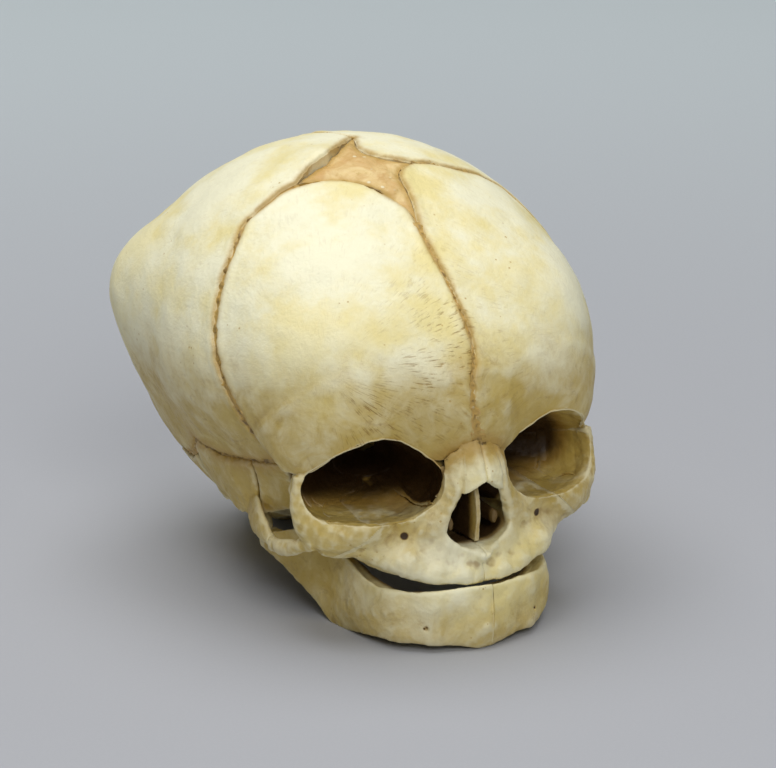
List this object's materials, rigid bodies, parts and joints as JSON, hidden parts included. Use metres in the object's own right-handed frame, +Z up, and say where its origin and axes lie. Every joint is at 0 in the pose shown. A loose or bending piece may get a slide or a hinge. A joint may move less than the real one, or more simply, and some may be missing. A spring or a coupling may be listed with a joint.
{
  "type": "anatomical skull model",
  "caption": "Newborn skull model with separate bones, open sutures, a soft spot at the crown and a hinged lower jaw in two halves.",
  "frame": {"origin": "centre of the model's box at its base, on the surface that it rests on", "axes": "+Z up, the face looks along -Y, +X is the skull's left"},
  "size_m": [0.0946, 0.1152, 0.0964],
  "materials": {
    "bone": "warm cream cast resin, satin, tan stain in the hollows",
    "vault_bone": "pale ivory cast resin, satin, golden brown at the seams",
    "deep_bone": "brown stained cast resin",
    "membrane": "tan, mottled, slightly rough"
  },
  "bodies": {
    "cranium": {"frontal_left": "vault_bone", "frontal_right": "vault_bone", "parietal_left": "vault_bone", "parietal_right": "vault_bone", "temporal_squama_left": "bone", "temporal_squama_right": "bone", "petrous_temporal_left": "deep_bone", "petrous_temporal_right": "deep_bone", "tympanic_ring_left": "bone", "tympanic_ring_right": "bone", "sphenoid_greater_wing_left": "bone", "sphenoid_greater_wing_right": "bone", "exoccipital_left": "bone", "exoccipital_right": "bone", "zygomatic_left": "bone", "zygomatic_right": "bone", "maxilla_left": "bone", "maxilla_right": "bone", "nasal_left": "bone", "nasal_right": "bone", "lacrimal_left": "deep_bone", "lacrimal_right": "deep_bone", "ethmoid_left": "deep_bone", "ethmoid_right": "deep_bone", "inferior_concha_left": "deep_bone", "inferior_concha_right": "deep_bone", "palatine_left": "deep_bone", "palatine_right": "deep_bone", "occipital_squama": "vault_bone", "basioccipital": "bone", "sphenoid_body": "deep_bone", "vomer": "deep_bone", "anterior_fontanelle_membrane": "membrane"},
    "mandible": {"mandible_left": "bone", "mandible_right": "bone"}
  },
  "joints": [
    {"name": "jaw_hinge", "type": "hinge", "parent": "cranium", "child": "mandible", "pos_m": [0, -0.01121, 0.0148], "axis": [1, 0, 0], "range_deg": [0, 25]}
  ]
}
